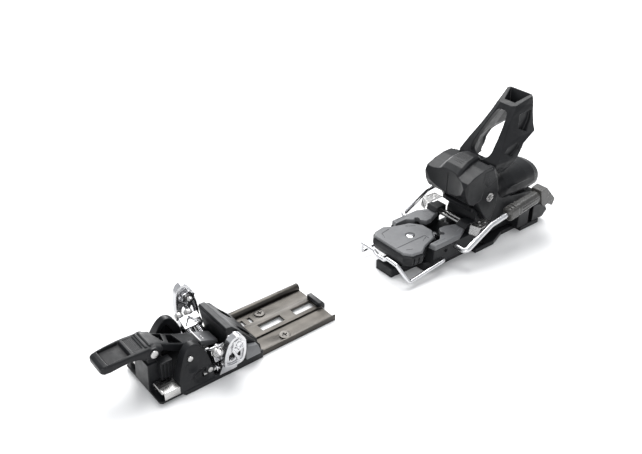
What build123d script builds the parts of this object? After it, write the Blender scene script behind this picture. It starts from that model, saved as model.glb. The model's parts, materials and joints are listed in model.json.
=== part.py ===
"""Touring binding: a pin toe unit, its rear rail and an alpine heel unit, set out on one ski axis.

Frame, in millimetres: +X to the skier's left, +Y towards the ski's tail, +Z up from the ski's top
surface.  The origin lies on the ski's top surface, on the centre line, in the middle of the toe unit.
"""
from build123d import *
import os

# ------------------------------------------------------------------ driving dimensions
RUN = 0.05                  # radial clearance of a pin in its hole
GAP = 0.4                   # clearance between neighbouring moving bodies

# toe unit
TOE_FRONT = -77.5           # front edge of the toe base
TOE_REAR = 21.5             # rear edge of the toe base
BASE_T = 4.5                # thickness of the toe base's floor
NOSE_HALF = 25.5            # half width of the toe base at its nose
BASE_HALF = 31.0            # half width of the toe base behind the nose
SKI_HOLE_R = 2.75           # hole for a ski screw
TOE_HOLE_X, TOE_HOLE_FRONT, TOE_HOLE_REAR = 15.0, -54.0, 12.0
LEVER_PIVOT = (-71.0, 41.0)     # y, z of the toe lever's axle
LEVER_PIN_R = 2.5
FORK_HALF = 13.8            # half width of the toe lever's handle and forks
GRIP_FLOOR = 44.0           # floor of the sunken grip in the handle
WING_PIVOT = (26.0, 9.5)        # x, z of a wing's axle, mirrored for the right wing
WING_PIN_R = 2.2
PIN_Y, PIN_Z = -10.7, 40.0      # the boot pins' common axis
BOOT_PIN_R = 2.4
PIN_ROOT_R = 3.0            # the pin's thicker root, pressed in the wing
PIN_SEAT, PIN_FREE = 37.0, 3.6  # x of the pin's shoulder, and length of its free cylinder
SPRING_ROWS = (-22.1, -12.7)    # y of the two springs in each jaw arm
ARM_TILT = 27.0                 # slope of the jaw arms, rising outwards

# rail
RAIL_FRONT, RAIL_REAR = 22.0, 103.0
RAIL_T = 2.2
STRIP_HALF = 9.3
SCREW_X, SCREW_Y = 20.0, 52.0

# heel unit
TRACK_FRONT, TRACK_REAR = 287.0, 388.0
FLANGE_HALF = 33.0
HEEL_HOLE_X, HEEL_HOLE_FRONT, HEEL_HOLE_REAR = 28.5, 300.5, 372.5
PAD_TOP = 31.8              # height of the grey pads the boot heel stands on
PEDAL_PIVOT = (243.0, 21.0)     # y, z of the brake pedal's axle
PEDAL_HOLE_Y, PEDAL_HOLE_R = 223.5, 4.5
ARM_PIVOT = (256.0, 21.5)       # y, z of the brake arms' axle
BRAKE_X = 46.0              # brake wires' centre lines
BRAKE_WIRE_R = 3.0
BAIL_PIVOT = (238.0, 13.0)      # y, z of the climbing bail's ends
BAIL_X = 35.0
BAIL_WIRE_R = 2.0
CUP_PIVOT = (306.0, 58.0)       # y, z of the heel cup's and lever's axle
CUP_PIN_R = 4.0
LEVER_SWING = 26.0          # degrees the release lever tilts back when the jaw opens
HUB_IN, HUB_OUT = 15.9, 20.0    # x of the release lever's hubs
CHEEK_IN, CHEEK_OUT = 20.4, 28.0    # x of the heel cup's cheeks
HOUSING_HALF = 19.4
SCREW_AXIS_Z = 46.0         # height of the housing's axis
SPRING_Z = 50.0             # height of the release spring's axis
SPRING_R = 8.5              # outer radius of the release spring
LENGTH_SCREW_Z = 14.0


# ------------------------------------------------------------------ small helpers
def block(x0, x1, y0, y1, z0, z1):
    """Box between opposite corners."""
    return Pos((x0 + x1) / 2, (y0 + y1) / 2, (z0 + z1) / 2) * Box(x1 - x0, y1 - y0, z1 - z0)


def rod_x(y, z, r, x0, x1):
    """Cylinder along X."""
    return Pos((x0 + x1) / 2, y, z) * Rot(0, 90, 0) * Cylinder(r, x1 - x0)


def rod_y(x, z, r, y0, y1):
    """Cylinder along Y."""
    return Pos(x, (y0 + y1) / 2, z) * Rot(90, 0, 0) * Cylinder(r, y1 - y0)


def rod_z(x, y, r, z0, z1):
    """Cylinder along Z."""
    return Pos(x, y, (z0 + z1) / 2) * Cylinder(r, z1 - z0)


def outline(points, radius):
    """Closed polygon as a face, its corners rounded."""
    face = make_face(Polyline(*points, close=True))
    return fillet(face.vertices(), radius) if radius else face


def side_prism(points, x0, x1, radius=0):
    """Side outline given as (y, z) points, extruded from x0 to x1."""
    return Pos(x0, 0, 0) * extrude(Plane.YZ * outline(points, radius), x1 - x0, dir=(1, 0, 0))


def front_prism(points, y0, y1, radius=0):
    """Front outline given as (x, z) points, extruded from y0 to y1."""
    return Pos(0, y0, 0) * extrude(Plane.XZ * outline(points, radius), y1 - y0, dir=(0, 1, 0))


def top_prism(points, z0, z1, radius=0):
    """Plan outline given as (x, y) points, extruded from z0 to z1."""
    return Pos(0, 0, z0) * extrude(outline(points, radius), z1 - z0, dir=(0, 0, 1))


def both_sides(half):
    """Mirror the (x, y) points of a plan outline's left half into a whole outline."""
    return half + [(-x, y) for x, y in reversed(half)]


def mirrored(shape):
    """The same shape on the other side of the ski axis."""
    return mirror(shape, about=Plane.YZ)


def wire(points, bend, r):
    """Round wire along straight runs joined by arcs."""
    path = FilletPolyline(*points, radius=bend)
    return sweep(Plane(origin=path @ 0, z_dir=path % 0) * Circle(r), path=path)


def save(name, shape):
    """Write one sub-part."""
    export_step(shape, f"parts/{name}.step")


# ------------------------------------------------------------------ toe unit, fixed pieces
def toe_base():
    """Moulded base: floor, side walls, crampon recess frames and the lever's central post."""
    plan = both_sides([(BASE_HALF, TOE_REAR), (BASE_HALF, -55.0), (NOSE_HALF, -58.5), (NOSE_HALF, TOE_FRONT)])
    flare = both_sides([(30.6, -50.0), (30.6, -76.5), (28.5, -78.5)])
    base = top_prism(plan, 0, BASE_T, 1.5) + top_prism(flare, 2.5, BASE_T)
    wall = block(28.2, BASE_HALF, 0.6, TOE_REAR, BASE_T, 8.0) + block(28.2, BASE_HALF, -26.5, 0.6, BASE_T, 5.8)
    base += wall + mirrored(wall)
    py, pz = LEVER_PIVOT
    post = side_prism([(-76.0, BASE_T), (-62.0, BASE_T), (-67.5, 40.0), (-74.5, 40.0)], -9.4, 9.4)
    foot = side_prism([(-78.5, BASE_T), (-60.0, BASE_T), (-61.0, 30.0), (-77.0, 30.0)], -12.0, 12.0)
    base += post + foot + rod_x(py, pz, 4.0, -9.4, 9.4)
    base -= rod_x(py, pz, LEVER_PIN_R, -12, 12)
    for x in (-TOE_HOLE_X, TOE_HOLE_X):
        for y in (TOE_HOLE_FRONT, TOE_HOLE_REAR):
            base -= rod_z(x, y, SKI_HOLE_R, -1, BASE_T + 1)
    return base


def toe_bracket():
    """Left side dome that carries the front ends of the wing axle and shields the springs."""
    profile = [(-56.0, BASE_T), (-27.2, BASE_T), (-27.0, 14.0), (-31.0, 25.0), (-36.5, 38.5), (-43.5, 42.5),
               (-50.5, 38.0), (-58.5, 23.0), (-59.0, 13.0)]
    taper = front_prism([(20.8, 0), (30.6, 0), (30.6, 15.0), (25.0, 43.0), (18.0, 43.0), (18.0, 34.0)], -60, -26)
    dome = side_prism(profile, 17.0, 30.6, 1.6) & taper
    inner = side_prism([(-53.0, 8.0), (-35.0, 8.0), (-36.5, 24.0), (-43.0, 36.5), (-50.0, 30.0)], 20.0, 23.8, 1.5)
    x, z = WING_PIVOT
    bosses = rod_x(-46.5, 32.0, 2.4, 24.4, 32) + rod_x(-31.0, 14.5, 2.4, 25, 32)
    return dome - inner - rod_y(x, z, WING_PIN_R, -40, -20) - bosses


def bracket_pins():
    """Two polished pin ends in each side dome."""
    pins = rod_x(-46.5, 32.0, 2.4, 24.4, 28.0) + rod_x(-31.0, 14.5, 2.4, 25, 31.2)
    return pins + mirrored(pins)


def wing_axle():
    """Left wing's axle, along the ski, from the side dome to the rear cover."""
    x, z = WING_PIVOT
    return rod_y(x, z, WING_PIN_R, -36.0, 6.0)


def rear_cover():
    """Wedge behind the wings, sloping down to the rail."""
    ridge = side_prism([(-4.6, BASE_T), (-5.0, 12.0), (-9.4, 38.0), (-8.6, 40.5), (-3.0, 40.0), (21.5, 14.5),
                        (21.5, BASE_T)], -22.0, 22.0, 0.8)
    skirt = side_prism([(1.5, BASE_T), (1.5, 33.5), (5.0, 32.0), (20.5, 13.0), (21.5, BASE_T)], -27.9, 27.9, 0.8)
    x, z = WING_PIVOT
    cover = ridge + skirt
    for side in (-1, 1):
        cover -= rod_y(side * x, z, WING_PIN_R, -10, 6.0)
        cover -= rod_z(side * TOE_HOLE_X, TOE_HOLE_REAR, 5.6, 0, 60)
    return cover


def boot_stop():
    """Left light grey rest for the boot's edge, beside the rear cover."""
    return side_prism([(3.0, BASE_T), (3.0, 19.5), (6.0, 21.5), (15.0, 18.5), (17.5, 12.0), (17.5, BASE_T)],
                      28.2, 33.0, 1.2) - block(28, 40, -5, 30, 0, 8.1)


def crampon_clip():
    """Left folded steel clip that takes a ski crampon's axle."""
    sheet = front_prism([(12.6, BASE_T), (12.6, 12.0), (30.4, 12.0), (30.4, BASE_T), (28.9, BASE_T), (28.9, 10.6),
                         (14.1, 10.6), (14.1, BASE_T)], -74.0, -59.6)
    lip = block(14.1, 28.9, -75.5, -74.0, 10.6, 13.4)
    return sheet + lip


def rail():
    """Anodised extrusion: floor, raised hollow centre strip, tube lip on the right, low lip on the left."""
    floor = block(-27.5, 29.0, RAIL_FRONT, RAIL_REAR, 0, RAIL_T)
    strip = block(-STRIP_HALF, STRIP_HALF, RAIL_FRONT, RAIL_REAR, 0, 4.2)
    lip = block(27.6, 29.0, RAIL_FRONT, RAIL_REAR, 0, 5.6)
    tube = rod_y(-29.6, 4.2, 3.9, RAIL_FRONT, RAIL_REAR) - rod_y(-29.6, 4.2, 2.3, RAIL_FRONT - 1, RAIL_REAR + 1)
    shape = floor + strip + lip
    shape -= rod_y(-29.6, 4.2, 3.9, RAIL_FRONT - 1, RAIL_REAR + 1)
    shape += tube
    shape -= block(-6.5, 6.5, RAIL_FRONT - 1, RAIL_REAR + 1, -1, 2.0)
    for y0, y1 in ((39.0, 63.6), (76.0, 98.5)):
        shape -= block(-4.8, 4.8, y0, y1, -1, 10)
    for y0, y1 in ((29.9, 33.1), (38.0, 41.4)):
        shape -= block(-21.0, -13.0, y0, y1, -1, 10)
    for x in (-SCREW_X, SCREW_X):
        shape -= rod_z(x, SCREW_Y, SKI_HOLE_R, -1, 10) + rod_z(x, SCREW_Y, 5.1, 1.2, 10)
    return shape


def rail_screws():
    """Cross-recess screws that hold the rail down, cut off level with the ski's top."""
    screws = None
    for x in (-SCREW_X, SCREW_X):
        screw = rod_z(x, SCREW_Y, SKI_HOLE_R, 0.2, 1.2) + rod_z(x, SCREW_Y, 5.1, 1.2, 3.0)
        screw -= block(x - 2.6, x + 2.6, SCREW_Y - 0.5, SCREW_Y + 0.5, 1.9, 4)
        screw -= block(x - 0.5, x + 0.5, SCREW_Y - 2.6, SCREW_Y + 2.6, 1.9, 4)
        screws = screw if screws is None else screws + screw
    return screws


def rail_end_cap():
    """Moulded stop on the rear end of the centre strip."""
    nose = side_prism([(99.3, 4.2), (106.5, 0.2), (106.5, 5.5), (104.0, 8.6), (99.3, 8.6)], -9.3, 9.3)
    return nose - block(-12, 12, 90, RAIL_REAR + 0.05, -1, 4.2)


# ------------------------------------------------------------------ toe unit, moving pieces
def toe_wing():
    """Left forged wing: a tall rounded plate with a boss for the boot pin and a foot round its axle."""
    x, z = WING_PIVOT
    plate = Plane.YZ * outline([(-24.5, 7.0), (-1.5, 7.0), (-0.8, 30.0), (-4.5, 46.5), (-11.5, 52.5), (-19.5, 47.0),
                                (-24.0, 33.0)], 3.0)
    lean = front_prism([(30.0, 6.0), (36.5, 6.0), (44.0, 53.0), (38.0, 53.0), (33.0, 22.0)], -26, 0)
    wide = Pos(29.0, 0, 0) * extrude(plate, 16.0, dir=(1, 0, 0))
    wing = wide & lean
    boss = rod_x(PIN_Y, PIN_Z, 6.4, PIN_SEAT, 42.5)
    foot = rod_y(x, z, 3.6, -24.5, -7.4) + block(x, 33.5, -24.5, -7.4, 6.2, 12.6)
    wing += boss + foot
    wing -= rod_y(x, z, WING_PIN_R + RUN, -30, 0) + spring_caps()
    return wing - rod_x(PIN_Y, PIN_Z, PIN_ROOT_R, 30, 41)


def boot_pin():
    """Left hardened pin that snaps into the boot's toe fitting."""
    root = rod_x(PIN_Y, PIN_Z, PIN_ROOT_R, PIN_SEAT, 41.0)
    free = rod_x(PIN_Y, PIN_Z, BOOT_PIN_R, PIN_SEAT - PIN_FREE, PIN_SEAT)
    base_down = (Align.CENTER, Align.CENTER, Align.MIN)
    tip = Pos(PIN_SEAT - PIN_FREE, PIN_Y, PIN_Z) * Rot(0, -90, 0) * Cone(BOOT_PIN_R, 1.2, 2.4, align=base_down)
    return root + free + tip


def arm_frame():
    """Local frame of the left jaw arm: local X runs outwards and up along the arm."""
    return Pos(11.8, 0, 15.5) * Rot(0, -ARM_TILT, 0)


def jaw_block():
    """Left jaw arm: the bright block that holds two coil springs beside each other."""
    body = block(8.5, 20.5, -26.5, -8.2, -4.6, 5.4)
    tray = block(0.0, 8.5, -26.5, -8.2, -4.6, -3.4)
    rib = block(0.0, 8.5, -17.9, -16.9, -4.6, 4.2)
    arm = arm_frame() * (body + tray + rib)
    x, z = WING_PIVOT
    return arm - rod_y(x, z, 4.7, -30, 0)


def jaw_springs():
    """Left pair of close-wound springs, each a ribbed barrel."""
    springs = None
    for y in SPRING_ROWS:
        barrel = Pos(4.2, y, 0.6) * Rot(0, 90, 0) * Cylinder(3.2, 8.2)
        for turn in range(4):
            barrel += Pos(1.2 + 2.0 * turn, y, 0.6) * Rot(0, 90, 0) * Cylinder(3.9, 1.2)
        springs = barrel if springs is None else springs + barrel
    return arm_frame() * springs


def spring_caps():
    """Left pair of round guide caps on the springs' outer ends."""
    caps = None
    for y in SPRING_ROWS:
        cap = Pos(23.0, y, 2.6) * Rot(0, 90, 0) * Cylinder(4.0, 5.0)
        caps = cap if caps is None else caps + cap
    return arm_frame() * caps


def toe_lever():
    """Black handle over the central post, with a long rear arm that reaches the lock plate."""
    py, pz = LEVER_PIVOT
    handle = side_prism([(-115.2, 41.0), (-111.5, 47.0), (-90.0, 48.0), (-71.0, 47.6), (-62.0, 43.5), (-62.0, 39.5),
                         (-66.0, 36.5), (-75.0, 36.5), (-84.0, 41.0), (-97.0, 40.5), (-113.0, 38.2)],
                        -FORK_HALF, FORK_HALF, 1.2)
    plan = both_sides([(11.0, -116.0), (12.6, -108.0), (FORK_HALF, -90.0), (FORK_HALF, -60.0)])
    arm = side_prism([(-78.0, 47.7), (-71.0, 47.6), (-62.0, 43.5), (-40.0, 32.5), (-26.0, 26.6), (-26.0, 21.5),
                      (-44.0, 25.0), (-60.0, 34.5), (-65.0, 41.0), (-72.0, 44.4)], -9.4, 9.4)
    lever = (handle & top_prism(plan, 0, 60)) + arm
    lever -= block(-9.8, 9.8, -82.0, -65.0, 20, pz + 1)
    lever -= rod_x(py, pz, 4.4, -9.8, 9.8)
    lever -= rod_x(py, pz, LEVER_PIN_R + RUN, -20, 20)
    windows = block(1.6, 7.4, -57.0, -44.0, 29.0, 60) + block(-7.4, -1.6, -57.0, -44.0, 29.0, 60)
    return lever - grip_pocket(60) - windows


def grip_pocket(top):
    """Sunken rectangle in the lever's handle, up to the given height."""
    return top_prism(both_sides([(9.6, -108.5), (9.9, -89.0)]), GRIP_FLOOR, top, 2.0)


def lever_pad():
    """Soft grip inlay in the handle's pocket."""
    return grip_pocket(GRIP_FLOOR + 1.1)


def lever_pin():
    """Lever axle, pressed in the post, with a round head outside each fork."""
    py, pz = LEVER_PIVOT
    head = rod_x(py, pz, 3.4, FORK_HALF + 0.2, FORK_HALF + 1.7)
    return rod_x(py, pz, LEVER_PIN_R, -FORK_HALF - 0.2, FORK_HALF + 0.2) + head + mirrored(head)


def lock_plate():
    """Grey tongue on the lever's rear end that lies between the jaw arms."""
    return side_prism([(-26.0, 21.5), (-26.0, 26.6), (-24.6, 26.6), (-9.4, 20.6), (-9.4, 17.2), (-14.0, 17.2)], -7.6, 7.6)


# ------------------------------------------------------------------ heel unit, fixed pieces
def heel_track():
    """Ski plate with a front and a rear flange, and the raised slide the carriage runs on."""
    plan = both_sides([(25.5, TRACK_REAR - 30), (FLANGE_HALF, TRACK_REAR - 30), (FLANGE_HALF, TRACK_REAR)])
    front = both_sides([(FLANGE_HALF, TRACK_FRONT), (FLANGE_HALF, 314.5), (25.5, 335.0), (25.5, 359.0)])
    plate = top_prism(front, 0, 5.0) + top_prism(plan, 0, 5.0)
    slide = block(-13.0, 13.0, TRACK_FRONT, TRACK_REAR, 5.0, 8.0) + block(-16.0, 16.0, TRACK_FRONT, TRACK_REAR, 8.0, 10.0)
    track = plate + slide
    track -= rod_y(0, LENGTH_SCREW_Z, 4.6, TRACK_FRONT - 1, TRACK_REAR + 1)
    for x in (-HEEL_HOLE_X, HEEL_HOLE_X):
        for y in (HEEL_HOLE_FRONT, HEEL_HOLE_REAR):
            track -= rod_z(x, y, SKI_HOLE_R, -1, 20)
    return track


def brake_base():
    """Moulded bed in front of the track: foot, pedal well, bearing blocks and pillars for the towers."""
    foot = top_prism(both_sides([(11.5, 188.5), (13.0, 232.0)]), 0, 9.5, 1.0)
    bed = top_prism(both_sides([(22.0, 222.0), (26.0, 231.0), (26.0, TRACK_FRONT)]), 0, 9.5)
    bearing = block(19.0, 31.6, 226.0, 285.0, 9.5, 26.5)
    py, pz = PEDAL_PIVOT
    base = foot + bed + bearing + mirrored(bearing)
    base += block(-19.0, 19.0, 262.0, TRACK_FRONT, 9.5, 16.0)
    base -= rod_x(py, pz, 2.0, -40, 40)
    base -= rod_x(*ARM_PIVOT, BRAKE_WIRE_R + RUN, 22.0, 40) + rod_x(*ARM_PIVOT, BRAKE_WIRE_R + RUN, -40, -22.0)
    base -= rod_x(*BAIL_PIVOT, BAIL_WIRE_R + RUN, 25.0, 40) + rod_x(*BAIL_PIVOT, BAIL_WIRE_R + RUN, -40, -25.0)
    return base


def side_pad():
    """Left grey pad beside the pedal, with a keyhole slot open towards the pedal."""
    plan = [(15.5, 250.5), (24.6, 240.0), (24.6, 226.0), (31.6, 227.5), (31.6, 262.0), (24.0, 277.5), (15.0, 277.5),
            (9.0, 262.0), (9.0, 255.0)]
    pad = top_prism(plan, 26.5, PAD_TOP, 0.9)
    return pad - rod_z(18.0, 250.0, 2.8, 20, 40) - block(10.0, 18.0, 248.6, 251.4, 20, 40)


def tower():
    """Left stepped block behind the pad."""
    lower = block(14.8, 31.6, 278.0, 285.0, 26.5, 34.0)
    upper = side_prism([(272.0, PAD_TOP), (277.0, 36.0), (289.5, 36.0), (289.5, 24.0), (285.2, 24.0), (285.2, 31.9)],
                       14.8, 27.6)
    return lower + (upper - block(0, 40, 270, 278, 0, 32.0))


def tower_plate():
    """Left bright steel plate screwed to the tower's outer side."""
    return block(27.9, 29.4, 277.0, 289.0, 34.2, 37.5) + block(27.9, 31.6, 277.0, 285.0, 34.2, 35.6)


def cross_rods():
    """Two bright rods between the towers."""
    return rod_x(281.5, 29.5, 1.8, -14.8, 14.8) + rod_x(287.0, 29.5, 1.8, -14.8, 14.8)


def pedal_spring():
    """Short coil spring standing in the well behind the pedal."""
    coil = rod_z(0, 258.0, 2.6, 9.5, 20.0)
    for turn in range(5):
        coil += rod_z(0, 258.0, 3.2, 10.0 + 2.0 * turn, 11.0 + 2.0 * turn)
    return coil


def pedal_axle():
    """Axle of the brake pedal, pressed in the bearing blocks."""
    return rod_x(*PEDAL_PIVOT, 2.0, -29.0, 29.0)


# ------------------------------------------------------------------ heel unit, brake and bail
def pedal_plan():
    """Plan outline of the pedal, wide in front and pointed behind."""
    return both_sides([(22.0, 193.0), (28.5, 199.0), (30.5, 212.0), (24.0, 222.5), (18.6, 239.5), (7.0, 248.5)])


def brake_pedal():
    """Dark moulded pedal body with a deep front skirt and a hub round its axle."""
    body = top_prism(pedal_plan(), 15.5, 28.6, 1.5)
    body -= block(-40, 40, 200.0, 226.0, 10, 21.0)
    body -= block(-40, 40, 226.0, 250.0, 10, 17.0)
    side_room = block(18.7, 40, 224.0, 260.0, 10, 40)
    body -= side_room + mirrored(side_room)
    hub = rod_x(*PEDAL_PIVOT, 4.4, -16.0, 16.0)
    body = body + hub - rod_x(*PEDAL_PIVOT, 2.0 + RUN, -30, 30)
    return body - rod_z(0, PEDAL_HOLE_Y, PEDAL_HOLE_R, 25.0, 60)


def pedal_rivet():
    """Bright rivet head sunk in the pedal's hole."""
    return rod_z(0, PEDAL_HOLE_Y, PEDAL_HOLE_R, 25.0, 27.4)


def pedal_pad():
    """Grey plastic plate on top of the pedal."""
    plan = both_sides([(20.5, 194.5), (27.3, 200.0), (29.2, 212.0), (23.2, 221.8), (17.8, 239.0), (6.6, 247.4)])
    return top_prism(plan, 28.6, PAD_TOP - 0.6, 1.2) - rod_z(0, PEDAL_HOLE_Y, PEDAL_HOLE_R, 0, 60)


def brake_wire():
    """Left brake wire: lateral leg in its bearing, then back along the heel unit."""
    y, z = ARM_PIVOT
    return wire([(23.0, y, z), (BRAKE_X, y, z), (BRAKE_X, 290.6, 39.8), (BRAKE_X, 322.0, 44.0)], 4.0, BRAKE_WIRE_R)


def brake_sleeve():
    """Left plastic sleeve moulded on the wire's rear end."""
    front = Pos(BRAKE_X, 322.0, 44.0) * Rot(7.6, 0, 0) * Box(13.0, 16.0, 15.0)
    rear = Pos(BRAKE_X, 345.0, 47.1) * Rot(7.6, 0, 0) * Box(11.5, 32.0, 13.0)
    return front + rear - brake_wire() - brake_foot()


def brake_foot():
    """Left square foot on the sleeve's end, that digs into the snow."""
    return side_prism([(361.2, 41.5), (357.0, 57.5), (366.5, 59.0), (383.0, 41.0), (380.0, 32.5), (373.5, 38.5),
                       (366.0, 36.5)], 39.5, 52.5, 1.5)


def climbing_bail():
    """Folded wire stand under the boot heel: side arms, raised front bar with a kink in its middle."""
    y, z = BAIL_PIVOT
    half = [(27.0, y, z), (BAIL_X, y, z), (BAIL_X, 190.5, 6.8), (25.3, 181.6, 25.5), (10.0, 183.6, 24.0),
            (4.5, 184.6, 19.5)]
    points = half + [(-a, b, c) for a, b, c in reversed(half)]
    return wire(points, 2.6, BAIL_WIRE_R)


# ------------------------------------------------------------------ heel unit, carriage and jaw
def heel_carriage():
    """Sliding body under the spring housing, hooked round the track's slide."""
    body = side_prism([(296.0, 10.5), (296.0, 30.0), (303.0, 48.0), (325.0, 52.0), (352.0, 40.0), (392.0, 34.0),
                       (392.0, 10.5)], -HOUSING_HALF, HOUSING_HALF)
    skirt = side_prism([(352.0, 5.5), (352.0, 26.0), (388.0, 24.0), (396.0, 20.0), (401.0, 12.0), (394.0, 5.5)],
                       -FLANGE_HALF, FLANGE_HALF, 1.0)
    hooks = block(-20.5, 20.5, 318.0, 392.0, 5.5, 12.0)
    channel = block(-16.0 - GAP, 16.0 + GAP, 280, 389.5, 7.4, 10.5) + block(-13.0 - GAP, 13.0 + GAP, 280, 389.5, 4, 8)
    hub_room = block(HUB_IN - 0.5, 40, 290, 321.0, 46.0, 80)
    lug = side_prism([(301.5, 44.0), (302.0, 52.0), (306.0, 58.0), (312.0, 58.0), (319.0, 50.0), (319.0, 44.0)],
                     -HUB_IN + 0.5, HUB_IN - 0.5)
    lug += rod_x(*CUP_PIVOT, 8.0, -HUB_IN + 0.5, HUB_IN - 0.5)
    carriage = body + skirt + hooks - channel - hub_room - mirrored(hub_room) + lug
    carriage -= rod_x(*CUP_PIVOT, CUP_PIN_R + RUN, -40, 40)
    carriage -= rod_y(0, LENGTH_SCREW_Z, 4.0 + RUN, 290, 410)
    carriage -= rod_y(0, SPRING_Z, SPRING_R + 0.5, 333.0, 368.0)
    for side in (-1, 1):
        carriage -= rod_z(side * HEEL_HOLE_X, HEEL_HOLE_REAR, 5.5, 0, 80)
    return carriage


def heel_housing():
    """Rounded housing of the release spring, closed by a dome at the rear."""
    barrel = rod_y(0, SCREW_AXIS_Z, 22.5, 330.0, 384.0)
    barrel += Pos(0, 384.0, SCREW_AXIS_Z) * Sphere(22.5)
    barrel &= block(-30, 30, 325, 403.0, 35.0, 80)
    shoulders = side_prism([(326.0, 52.3), (330.0, 59.5), (338.0, 62.0), (352.0, 62.0), (352.0, 40.3)], -15.4, 15.4)
    shell = barrel + shoulders
    shell -= heel_carriage()
    shell -= rod_y(0, SPRING_Z, 6.0 + RUN, 366, 410)
    shell -= rod_y(0, SPRING_Z, SPRING_R + 0.5, 333.0, 368.0)
    return shell - block(-3.0, 3.0, 352.0, 366.0, 60.0, 75)


def release_spring():
    """Stiff coil spring inside the housing."""
    spring = rod_y(0, SPRING_Z, SPRING_R - 1.2, 334.0, 367.0)
    for turn in range(8):
        spring += rod_y(0, SPRING_Z, SPRING_R, 334.5 + 4.2 * turn, 337.1 + 4.2 * turn)
    return spring


def din_screw():
    """Slotted adjusting screw in the housing's rear end."""
    screw = rod_y(0, SPRING_Z, 6.0, 372.0, 401.5)
    return screw - block(-5.0, 5.0, 399.5, 403, SPRING_Z - 0.8, SPRING_Z + 0.8)


def din_pointer():
    """Small slider that shows the spring setting in the housing's window."""
    return block(-2.7, 2.7, 353.0, 355.5, 62.5, 66.5)


def length_screw():
    """Long screw under the carriage that sets its place along the track."""
    screw = rod_y(0, LENGTH_SCREW_Z, 4.0, 300.0, 401.5)
    return screw - block(-3.4, 3.4, 400.0, 403, LENGTH_SCREW_Z - 0.7, LENGTH_SCREW_Z + 0.7)


def cup_axle():
    """Steel axle through the carriage, the lever's hubs and the cup's cheeks."""
    return rod_x(*CUP_PIVOT, CUP_PIN_R, -26.4, 26.4)


def cup_screws():
    """Bright slotted screw heads on the axle's ends."""
    y, z = CUP_PIVOT
    head = rod_x(y, z, 4.8, 26.4, 28.6) - block(27.8, 30, y - 5, y + 5, z - 0.7, z + 0.7)
    return head + mirrored(head)


def heel_cup():
    """Heel jaw: a broad curved hood in front of the axle, with a cheek on each side."""
    y, z = CUP_PIVOT
    hood = [(269.0, 83.0), (266.5, 77.0), (273.5, 60.0), (281.0, 56.5), (292.0, 60.0), (296.0, 74.0), (306.0, 88.0),
            (304.0, 93.0), (292.0, 92.0)]
    shell = side_prism(hood, -36.0, 36.0, 1.5)
    plan = both_sides([(25.5, 263.0), (28.6, 271.0), (CHEEK_OUT, 308.0)])
    nose = top_prism(plan, 50, 100)
    boot = rod_z(0, 219.0, 54.0, 50, 100)
    shell = (shell & nose) - boot
    cheek = side_prism([(281.0, 74.0), (284.0, 60.0), (294.0, 44.0), (306.0, 28.0), (312.0, 28.0), (318.0, 44.0),
                        (320.0, 62.0), (316.0, 84.0), (309.0, 93.0), (296.0, 93.0)], CHEEK_IN, CHEEK_OUT, 1.5)
    cup = shell + cheek + mirrored(cheek)
    cup -= rod_x(y, z, 12.0, -CHEEK_IN, CHEEK_IN)
    cup -= rod_x(y, z, CUP_PIN_R + RUN, -40, 40)
    recess = rod_x(y, z, 5.2, 26.0, 40)
    return cup - recess - mirrored(recess)


def treadle():
    """Step-in tongue under the cup that the boot heel pushes down."""
    tongue = side_prism([(288.0, 42.5), (288.0, 46.5), (296.0, 50.0), (297.0, 56.0), (300.0, 58.0), (302.0, 46.0),
                         (296.0, 42.5)], -15.4, 15.4)
    arms = block(15.4, CHEEK_IN, 288.5, 294.5, 42.5, 47.0)
    return tongue + arms + mirrored(arms) - rod_x(*CUP_PIVOT, 8.5, -19, 19) - block(-20, 20, 295.5, 310, 30, 48.5)


def release_lever():
    """Tall open handle: two arms from hubs on the axle, joined at the hollow head."""
    y, z = CUP_PIVOT
    side = [(313.5, 89.5), (346.5, 138.5), (350.5, 141.5), (369.0, 149.8), (372.5, 147.0), (382.9, 105.5),
            (367.4, 99.4), (358.0, 88.0), (340.0, 80.0), (326.0, 80.0)]
    blade = side_prism(side, -26.0, 26.0, 1.0)
    taper = front_prism([(25.8, 79.0), (26.0, 92.0), (18.0, 118.0), (17.5, 151.0), (-17.5, 151.0), (-18.0, 118.0),
                         (-26.0, 92.0), (-25.8, 79.0)], 300, 400)
    blade = blade & taper
    window = front_prism([(5.0, 91.0), (12.5, 102.0), (11.5, 116.0), (4.5, 123.0), (-4.5, 123.0), (-11.5, 116.0),
                          (-12.5, 102.0), (-5.0, 91.0)], 290, 420, 1.5)
    belly = front_prism([(13.6, 84.0), (13.6, 127.0), (-13.6, 127.0), (-13.6, 84.0)], 356, 420)
    mouth = Pos(0, 359.5, 148) * Rot(24, 0, 0) * Box(21.0, 14.0, 34.0)
    base_down = (Align.CENTER, Align.CENTER, Align.MIN)
    room = Pos(0, y + 18.0, z - 4.5) * Rot(LEVER_SWING - 90, 0, 0) * Cylinder(23.3, 82, align=base_down)
    hub = rod_x(y, z, 10.5, HUB_IN, HUB_OUT)
    link = side_prism([(296.5, 62.0), (307.0, 50.0), (330.0, 80.2), (340.0, 84.0), (322.0, 92.0), (313.5, 89.5)],
                      HUB_IN, HUB_OUT)
    lever = blade - window - belly - mouth - room + hub + link + mirrored(hub + link)
    lever -= rod_x(y, z, CUP_PIN_R + RUN, -40, 40)
    return lever


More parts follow.
